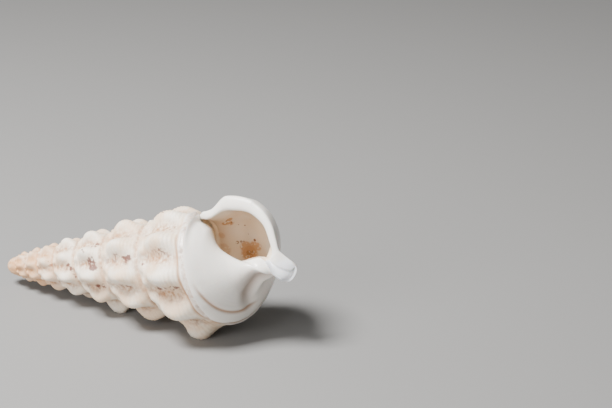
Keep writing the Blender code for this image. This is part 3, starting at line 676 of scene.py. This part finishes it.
# Share of the height, waves a whorl, waves a run and shift
GROWTH_WAVES = ((1.0, 23.0, 1.5, 0.0), (0.5, 57.0, -2.0, 0.0))
GROWTH_WAVES_HEIGHT = 0.03
GROWTH_WAVES_END = (0.5, 1.0)
GROWTH_WAVES_ACROSS = (0.02, 0.15, 1.0, 1.3)
GROWTH_LINES = ((1.0, 23.4, 26.0, 0.0), (0.6, 32.8, 41.0, 1.0))
GROWTH_LINES_HEIGHT = 0.022
GROWTH_LINES_SPAN = (0.1, 0.3, 0.7, 0.9)
GROWTH_LINES_ACROSS = (1.02, 1.1, 1.36, 1.5)
UNEVEN_HEIGHT = 0.05
UNEVEN_BEGINS = (0.5, 0.7)


def fade(x, start, full, ebb, end):
    """0 before start, 1 from full to ebb, 0 after end."""
    return ease(x, start, full) * (1.0 - ease(x, ebb, end))


def run_on(line, whorl):
    """Run at which a line lies, straight between its given places."""
    return np.interp(whorl, *np.transpose(line))


def ripples(whorl, run, waves):
    """Sum of sines of the whorl and the run."""
    total = 0.0
    for share, a_whorl, a_run, shift in waves:
        total = total + share * np.sin(TURN * (a_whorl * whorl + a_run * run) + shift)
    return total


def growth_relief(whorl, run, zone, points):
    """Millimetres out of the surface: steps are eases of the distance from an edge, grooves and folds are
    bell curves round a line, and slow waves in x, y and z make the knobs uneven."""
    on_callus = fade(whorl, *CALLUS_SPAN) * (whorl < 1.05)
    height = CALLUS_STEP * fade(run - run_on(CALLUS_EDGE, whorl), *CALLUS_ACROSS) * on_callus
    groove = run + whorl - GROOVE_SUM
    cut = GROOVE_RIDGE * hump(groove, *GROOVE_RIDGE_ACROSS)
    cut = cut - GROOVE_DEPTH * hump(groove, 0.0, GROOVE_BREADTH)
    height += fade(whorl, *GROOVE_SPAN) * (run > 1.0) * cut
    spread = (1.0 - ease(whorl, *GROWTH_WAVES_END)) * fade(run, *GROWTH_WAVES_ACROSS)
    height += GROWTH_WAVES_HEIGHT * ripples(whorl, run, GROWTH_WAVES) * spread
    spread = fade(run, *GROWTH_LINES_ACROSS) * fade(whorl, *GROWTH_LINES_SPAN)
    height += GROWTH_LINES_HEIGHT * ripples(whorl, run, GROWTH_LINES) * spread
    valley = run - run_on(NECK_HOLLOW, whorl)
    neck = NECK_FOLD_HEIGHT * hump(valley, *NECK_FOLD_ACROSS)
    neck = neck - NECK_HOLLOW_DEPTH * hump(valley, 0.0, NECK_HOLLOW_BREADTH)
    height += fade(whorl, *NECK_SPAN) * (zone == BASE_ZONE) * neck
    x, y, z = points.T
    uneven = np.sin(1.9 * x + 0.6 * y) * np.sin(1.7 * y + 0.9) * np.sin(1.6 * z + 0.4 * x)
    height += UNEVEN_HEIGHT * uneven * ease(whorl, *UNEVEN_BEGINS) * (zone == SPIRE)
    return height * ((zone == SPIRE) | (zone == BASE_ZONE))


whorl, run, zone = places.T
points = points + smooth_normals(points, quads) * growth_relief(whorl, run, zone, points)[:, None]

rings = [list(dict.fromkeys(ring)) for ring in quads.tolist()] + fan.tolist()
rings = [ring for ring in rings if len(ring) > 2]
mesh = bpy.data.meshes.new("shell_surface")
mesh.from_pydata(at_rest(points).tolist(), [], rings)

# Where the colours lie, one number a point for each: tan in the hollows between knobs and at the seams,
# brown stains at named places, the orange tip, the glaze, tan lines of painted shade below the callus's step
# and in the groove, painted shade in the hollow under the neck beside the mouth, the inside and the white
# tongue of the canal.

# Whorl, place across, breadth of each and strength
STAINS = (
    (2.768, 0.75, 0.030, 0.13, 1.4), (3.759, 0.84, 0.030, 0.15, 0.8), (4.768, 0.87, 0.035, 0.16, 0.8),
    (2.866, 0.80, 0.020, 0.12, 0.8), (2.830, 0.56, 0.018, 0.10, 0.6), (1.790, 0.80, 0.014, 0.08, 0.8),
    (1.790, 0.60, 0.020, 0.22, 0.5), (0.800, 0.60, 0.016, 0.16, 0.55), (2.661, 0.68, 0.018, 0.14, 0.9),
    (1.688, 0.60, 0.014, 0.20, 0.6), (3.696, 0.94, 0.020, 0.06, 0.6), (0.768, 0.18, 0.010, 0.05, 0.7),
    (0.698, 0.45, 0.010, 0.16, 0.75), (0.703, 0.76, 0.010, 0.12, 0.7), (0.884, 0.80, 0.010, 0.06, 0.5),
    (1.929, 0.20, 0.016, 0.08, 0.5), (2.661, 0.90, 0.020, 0.06, 0.6), (2.750, 0.44, 0.016, 0.08, 0.4),
    (3.857, 0.39, 0.030, 0.12, 0.5), (1.300, 0.55, 0.030, 0.16, 0.7), (2.200, 0.70, 0.030, 0.16, 0.8),
    (3.300, 0.60, 0.040, 0.20, 0.7), (1.180, 0.80, 0.016, 0.10, 0.6), (0.930, 0.50, 0.012, 0.10, 0.5),
    (4.300, 0.55, 0.040, 0.20, 0.7), (5.300, 0.60, 0.050, 0.20, 0.6),
)
COLOURED = (0.44, 0.52)        # whorls before the lip between which the colours of the spire begin
TAN_NARROWS = (2.2, 0.7)       # powers that keep the tan to the hollows, along the whorl and across it
SEAM_TAN = 0.6
SEAM_TAN_BREADTH = 0.06
ORANGE_TIP = (3.4, 6.2)        # whorls before the lip between which the orange of the tip comes in
GLAZE_ENDS = (0.05, 0.52)      # and the glaze of the last whorl goes
# Painted shade: tan lines at the foot of the callus's step and along the groove on the base, where shade
# falls
CALLUS_SHADE_LINE = (-0.018, 0.022)  # place beside the callus's edge and breadth of the tan line
CALLUS_SHADE_SPAN = (0.36, 0.42, 0.80, 0.92)
GROOVE_SHADE_LINE = (-0.004, 0.020)
# Painted shade: brown laid in the hollow under the neck, where shade falls; its breadth and span
NECK_SHADE_BREADTH = 0.10
NECK_SHADE_SPAN = (0.44, 0.54, 0.66, 0.80)
TONGUE_BEGINS = (1.66, 1.8)    # run on the lip between which the white tongue of the canal begins
INSIDE_BEGINS = (0.0, 0.10)    # way into the mouth over which the inside's colours come in

on_spire = zone == SPIRE
on_outside = on_spire | (zone == BASE_ZONE)
coloured = on_spire * ease(whorl, *COLOURED)
number = np.interp(whorl, KNOB_PLACE, KNOB_NUMBER)
between = (0.5 - 0.5 * np.cos(TURN * number)) ** TAN_NARROWS[0]
between = between * arch(np.clip(run, 0.0, 1.0), 1.0, TAN_NARROWS[1])
at_seam = hump(run, 0.0, SEAM_TAN_BREADTH) + hump(run, 1.0, SEAM_TAN_BREADTH)
stain = np.zeros(len(points))
for where, across, breadth, length, strength in STAINS:
    stain += strength * hump(whorl, where, breadth) * hump(run, across, length)
from_callus = run - run_on(CALLUS_EDGE, whorl)
glazed = np.maximum((zone > SPIRE) * 1.0, 1.0 - ease(whorl, *GLAZE_ENDS))
glazed = np.maximum(glazed, ease(from_callus, -0.02, 0.02) * (whorl < 1.0))
# Painted shade: tan lines just below the callus's edge and in the groove
callus_painted_shade = hump(from_callus, *CALLUS_SHADE_LINE) * fade(whorl, *CALLUS_SHADE_SPAN)
groove_painted_shade = hump(run + whorl - GROOVE_SUM, *GROOVE_SHADE_LINE) * fade(whorl, *GROOVE_SPAN) * (run > 1.0)
# Painted shade: a band of brown along the hollow under the neck
valley = run - run_on(NECK_HOLLOW, whorl)
neck_painted_shade = hump(valley, 0.0, NECK_SHADE_BREADTH) * fade(whorl, *NECK_SHADE_SPAN)
fields = {
    "whorl": whorl,
    "run": run,
    "hollow": np.clip(coloured * (between + SEAM_TAN * at_seam), 0.0, 1.0),
    "stain": np.clip(stain * coloured, 0.0, 1.0),
    "tip": ease(whorl, *ORANGE_TIP) * on_spire,
    "glaze": glazed,
    # Painted shade along the callus's step and the groove
    "shade": np.clip(callus_painted_shade + groove_painted_shade, 0.0, 1.0) * on_outside,
    # Painted shade in the hollow under the neck
    "neck": neck_painted_shade * (zone == BASE_ZONE),
    "inside": (zone == MOUTH) * ease(whorl, *INSIDE_BEGINS),
    "tongue": np.maximum((zone == GUTTER) * 1.0, ease(run, *TONGUE_BEGINS) * (zone == RIM)),
}
for name, values in fields.items():
    attribute = mesh.attributes.new(name, "FLOAT", "POINT")
    attribute.data.foreach_set("value", np.asarray(values, np.float32))
bm = bmesh.new()
bm.from_mesh(mesh)
bmesh.ops.remove_doubles(bm, verts=bm.verts, dist=WELD)
bmesh.ops.recalc_face_normals(bm, faces=bm.faces)
bm.to_mesh(mesh)
bm.free()
mesh.shade_smooth()
shell = bpy.data.objects.new("knobbed_shell", mesh)
bpy.context.scene.collection.objects.link(shell)

# Finish: lime with a porcelain glaze round the mouth and a duller, warmer surface on the spire. The colours
# are laid one over the other by the numbers above, broken up by noise at the size of the real marks. Scales
# of noise are features a metre, and shares are how much of a colour covers the one below.
CREAM = (0.87, 0.77, 0.64)
WARM_CREAM = (0.80, 0.61, 0.44)
GLAZE_WHITE = (0.90, 0.85, 0.78)
TAN = (0.40, 0.18, 0.065)
BROWN = (0.12, 0.025, 0.018)
TIP_ORANGE = (0.60, 0.30, 0.12)
INSIDE_BEIGE = (0.86, 0.76, 0.64)
INSIDE_TAN = (0.78, 0.62, 0.45)
ORANGE = (0.50, 0.20, 0.03)
MOUTH_BROWN = (0.20, 0.07, 0.02)
# Brown painted as shade in the hollow under the neck
NECK_PAINTED_SHADE = (0.26, 0.13, 0.07)
TONGUE_WHITE = (0.86, 0.87, 0.90)
BLOTCH_SCALE = 220.0
GRAIN_SCALE = 1300.0
STREAK_SCALE = 620.0
LINING_SCALE = 160.0
ORANGE_SCALE = 1400.0
SPECK_SCALE = 1500.0
STREAK_SHARE = 0.55
STAIN_SHARE = 0.85
TIP_SHARE = 0.75
CREASE_SHADE_SHARE = 0.8
NECK_SHADE_SHARE = 0.6
ORANGE_SHARE = 0.75
SPECK_SHARE = 0.9
SPIRE_ROUGHNESS = 0.55
GLAZE_ROUGHNESS = 0.26
LIGHT_SINKS_IN = 0.15
SINK_DEPTH = 0.0012            # metres
SINK_COLOUR = (1.0, 0.7, 0.5)
GROWTH_LINE_STRETCH = (70.0, 3.0, 1.0)  # lines a whorl, and a run
RELIEF_STRENGTH = 0.35
RELIEF_HEIGHT = 0.00012        # metres
# Marks inside the mouth: way from the rim (0) to the throat (1) and on, run, radius in millimetres, share of
# the round spot that is marked, and strength
ORANGE_MARKS = (
    (1.27, 0.54, 1.5, 0.55, 1.0), (1.24, 0.44, 1.0, 0.5, 0.9), (1.25, 0.62, 0.9, 0.5, 0.9),
    (1.20, 0.11, 1.2, 0.45, 0.35), (1.00, 0.11, 0.6, 0.5, 0.35), (1.214, 0.708, 0.7, 0.5, 0.8),
    (0.571, 0.292, 0.55, 0.5, 0.9), (0.643, 0.222, 0.6, 0.5, 0.9), (0.714, 0.278, 0.6, 0.5, 0.9),
)
BROWN_MARKS = (
    (1.143, 0.639, 0.24, 1.0, 1.0), (0.95, 0.46, 0.14, 1.0, 0.8), (1.143, 0.30, 0.30, 0.55, 0.8),
    (1.17, 0.36, 0.22, 0.6, 0.7), (1.12, 0.40, 0.20, 0.6, 0.7), (0.60, 0.25, 0.18, 0.8, 0.7),
    (0.70, 0.29, 0.18, 0.8, 0.7), (0.85, 0.36, 0.12, 1.0, 0.6), (1.05, 0.52, 0.10, 1.0, 0.6),
    (0.80, 0.62, 0.10, 1.0, 0.5), (1.26, 0.52, 0.50, 0.5, 0.5), (1.28, 0.58, 0.45, 0.5, 0.5),
)
SPOT_SOFTNESS = 0.6            # breadth of a spot's edge, as a share of its radius
SPOT_BREAKS = (0.62, 0.70, 0.5)  # noise levels that break a spot up, and how much a larger share lowers them

finish = bpy.data.materials.new("porcelain_lime")
finish.use_nodes = True
tree = finish.node_tree
shader = tree.nodes["Principled BSDF"]
object_place = tree.nodes.new("ShaderNodeTexCoord").outputs["Object"]


def join(value, socket):
    """Links an output to a socket, or sets the socket to a plain value."""
    if isinstance(value, bpy.types.NodeSocket):
        tree.links.new(value, socket)
    else:
        socket.default_value = value


def field(name):
    """The number of that name at each point of the surface."""
    reader = tree.nodes.new("ShaderNodeAttribute")
    reader.attribute_name = name
    return reader.outputs["Fac"]


def noise(scale, detail=3.0, place=None):
    """Cloudy noise from 0 to 1 whose features are about 1/scale metres across."""
    cloud = tree.nodes.new("ShaderNodeTexNoise")
    cloud.inputs["Scale"].default_value = scale
    cloud.inputs["Detail"].default_value = detail
    join(place or object_place, cloud.inputs["Vector"])
    return cloud.outputs["Fac"]


def reckon(operation, a, b=0.0):
    """One arithmetic step, kept from 0 to 1."""
    step = tree.nodes.new("ShaderNodeMath")
    step.operation = operation
    step.use_clamp = True
    join(a, step.inputs[0])
    join(b, step.inputs[1])
    return step.outputs[0]


def times(a, b):
    """The two multiplied, kept from 0 to 1."""
    return reckon("MULTIPLY", a, b)


def between_levels(value, low, high):
    """0 below low, 1 above high, smooth between."""
    level = tree.nodes.new("ShaderNodeMapRange")
    level.interpolation_type = "SMOOTHSTEP"
    join(value, level.inputs["Value"])
    level.inputs["From Min"].default_value = low
    level.inputs["From Max"].default_value = high
    return level.outputs["Result"]


def over(share, below, above):
    """Colour above laid over colour below by a share."""
    mixer = tree.nodes.new("ShaderNodeMix")
    mixer.data_type = "RGBA"
    join(share, mixer.inputs["Factor"])
    for colour, socket in ((below, mixer.inputs[6]), (above, mixer.inputs[7])):
        join(colour if isinstance(colour, bpy.types.NodeSocket) else (*colour, 1.0), socket)
    return mixer.outputs[2]


def round_spot(place, radius, soft):
    """1 within a radius of a place in metres, and 0 past a soft edge."""
    distance = tree.nodes.new("ShaderNodeVectorMath")
    distance.operation = "DISTANCE"
    join(object_place, distance.inputs[0])
    distance.inputs[1].default_value = place
    in_radii = reckon("DIVIDE", distance.outputs["Value"], radius * (1.0 + soft))
    return between_levels(in_radii, 1.0, 1.0 / (1.0 + soft))


def marks_in_mouth(table, cloud):
    """The strongest of the round spots of a table, each broken up by noise."""
    in_mouth = np.flatnonzero(zone == MOUTH)
    low, high, fall = SPOT_BREAKS
    total = 0.0
    for depth, along, radius, share, strength in table:
        away = (whorl[in_mouth] - depth) ** 2 + (run[in_mouth] - along) ** 2
        nearest = in_mouth[np.argmin(away)]
        spot = round_spot(at_rest(points[nearest:nearest + 1])[0], radius * MM, SPOT_SOFTNESS)
        broken = between_levels(cloud, low - fall * share, high - fall * share) if share < 1.0 else 1.0
        total = reckon("MAXIMUM", total, times(times(spot, broken), strength))
    return total


blotches = noise(BLOTCH_SCALE)
grain = noise(GRAIN_SCALE, 4.0)

# Spire and outside
colour = over(between_levels(blotches, 0.40, 0.62), CREAM, WARM_CREAM)
bare = times(reckon("SUBTRACT", 1.0, field("glaze")), between_levels(blotches, 0.2, 0.4))
colour = over(reckon("SUBTRACT", 1.0, bare), colour, GLAZE_WHITE)
colour = over(times(field("hollow"), between_levels(grain, 0.20, 0.70)), colour, TAN)
streaks = times(field("hollow"), between_levels(noise(STREAK_SCALE, 2.0), 0.58, 0.66))
colour = over(times(streaks, STREAK_SHARE), colour, BROWN)
stains = between_levels(reckon("ADD", grain, times(field("stain"), 0.40)), 0.66, 0.84)
stains = times(stains, between_levels(field("stain"), 0.05, 0.40))
colour = over(times(stains, STAIN_SHARE), colour, BROWN)
orange_tip = times(field("tip"), between_levels(blotches, 0.1, 0.6))
colour = over(times(orange_tip, TIP_SHARE), colour, TIP_ORANGE)
# Painted shade: tan lines below the callus's step and in the groove
colour = over(times(field("shade"), CREASE_SHADE_SHARE), colour, TAN)
# Painted shade: brown in the hollow under the neck
colour = over(times(field("neck"), NECK_SHADE_SHARE), colour, NECK_PAINTED_SHADE)

# Inside of the mouth, and the tongue
lining = over(between_levels(noise(LINING_SCALE, 2.0), 0.35, 0.7), INSIDE_BEIGE, INSIDE_TAN)
colour = over(field("inside"), colour, lining)
orange = times(marks_in_mouth(ORANGE_MARKS, noise(ORANGE_SCALE, 4.0)), field("inside"))
colour = over(times(orange, ORANGE_SHARE), colour, ORANGE)
specks = times(marks_in_mouth(BROWN_MARKS, noise(SPECK_SCALE, 2.0)), field("inside"))
colour = over(times(specks, SPECK_SHARE), colour, MOUTH_BROWN)
colour = over(field("tongue"), colour, TONGUE_WHITE)
join(colour, shader.inputs["Base Color"])

# Gloss, light that sinks in, and fine relief along the growth
rough = tree.nodes.new("ShaderNodeMapRange")
join(field("glaze"), rough.inputs["Value"])
rough.inputs["To Min"].default_value = SPIRE_ROUGHNESS
rough.inputs["To Max"].default_value = GLAZE_ROUGHNESS
join(rough.outputs["Result"], shader.inputs["Roughness"])
shader.inputs["Subsurface Weight"].default_value = LIGHT_SINKS_IN
shader.inputs["Subsurface Radius"].default_value = SINK_COLOUR
shader.inputs["Subsurface Scale"].default_value = SINK_DEPTH
along_growth = tree.nodes.new("ShaderNodeCombineXYZ")
join(field("whorl"), along_growth.inputs[0])
join(field("run"), along_growth.inputs[1])
stretched = tree.nodes.new("ShaderNodeVectorMath")
stretched.operation = "MULTIPLY"
join(along_growth.outputs[0], stretched.inputs[0])
stretched.inputs[1].default_value = GROWTH_LINE_STRETCH
growth_lines = noise(1.0, 2.0, stretched.outputs[0])
relief = tree.nodes.new("ShaderNodeBump")
relief.inputs["Strength"].default_value = RELIEF_STRENGTH
relief.inputs["Distance"].default_value = RELIEF_HEIGHT
join(reckon("ADD", times(growth_lines, 0.5), times(grain, 0.5)), relief.inputs["Height"])
join(relief.outputs["Normal"], shader.inputs["Normal"])
mesh.materials.append(finish)
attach(shell, "root")
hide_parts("shell")

# Floor: a plain pale sheet of matt paper, larger than any view of it. The shell lies loose on it, and its
# top is at height 0.
HALF_FLOOR = 2.0
PAPER_GREY = (0.21, 0.206, 0.20, 1.0)
PAPER_ROUGHNESS = 0.7
floor_corners = [(x * HALF_FLOOR, y * HALF_FLOOR, 0.0) for x, y in ((-1, -1), (1, -1), (1, 1), (-1, 1))]
floor_mesh = bpy.data.meshes.new("floor")
floor_mesh.from_pydata(floor_corners, [], [(0, 1, 2, 3)])
floor = bpy.data.objects.new("floor", floor_mesh)
bpy.context.scene.collection.objects.link(floor)
paper = bpy.data.materials.new("paper")
paper.use_nodes = True
paper_shader = paper.node_tree.nodes["Principled BSDF"]
paper_shader.inputs["Base Color"].default_value = PAPER_GREY
paper_shader.inputs["Roughness"].default_value = PAPER_ROUGHNESS
floor_mesh.materials.append(paper)

# Light: a soft lamp high on the tip's side, a larger and weaker one in front of the mouth, and a dim even
# light from all round. Place and size are in metres, and power in watts.
ROUND_LIGHT = (1.0, 0.99, 0.97, 1.0)
ROUND_STRENGTH = 0.22
AIM = (0.0, 0.0, 0.01)
world = bpy.data.worlds.new("studio")
bpy.context.scene.world = world
world.use_nodes = True
background = world.node_tree.nodes["Background"]
background.inputs["Color"].default_value = ROUND_LIGHT
background.inputs["Strength"].default_value = ROUND_STRENGTH


def soft_light(name, place, size, watts):
    """Square lamp at a place, turned to the shell."""
    lamp = bpy.data.lights.new(name, "AREA")
    lamp.size = size
    lamp.energy = watts
    holder = bpy.data.objects.new(name, lamp)
    holder.location = place
    holder.rotation_euler = (Vector(AIM) - Vector(place)).to_track_quat("-Z", "Y").to_euler()
    bpy.context.scene.collection.objects.link(holder)


soft_light("key", place=(-0.14, -0.16, 0.45), size=0.18, watts=8.6)
soft_light("side", place=(-0.10, -0.50, 0.20), size=0.30, watts=2.4)

# Camera: at the photograph's viewing angle and distance, which were worked out together from the shell's
# outline. The place is in metres and the lens in millimetres.
FOCAL_LENGTH = 100.0
SENSOR_WIDTH = 36.0
NEAREST = 0.01
CAMERA_PLACE = (0.191886, -0.284160, 0.152426)
AZIMUTH = radians(28.164)
ELEVATION = radians(20.337)
ROLL = radians(0.4506)
lens = bpy.data.cameras.new("camera")
lens.lens = FOCAL_LENGTH
lens.sensor_width = SENSOR_WIDTH
lens.clip_start = NEAREST
camera = bpy.data.objects.new("camera", lens)
camera.location = CAMERA_PLACE
look = Matrix.Rotation(AZIMUTH, 3, "Z") @ Matrix.Rotation(pi / 2 - ELEVATION, 3, "X")
camera.rotation_euler = (look @ Matrix.Rotation(ROLL, 3, "Z")).to_euler()
bpy.context.scene.collection.objects.link(camera)
bpy.context.scene.camera = camera
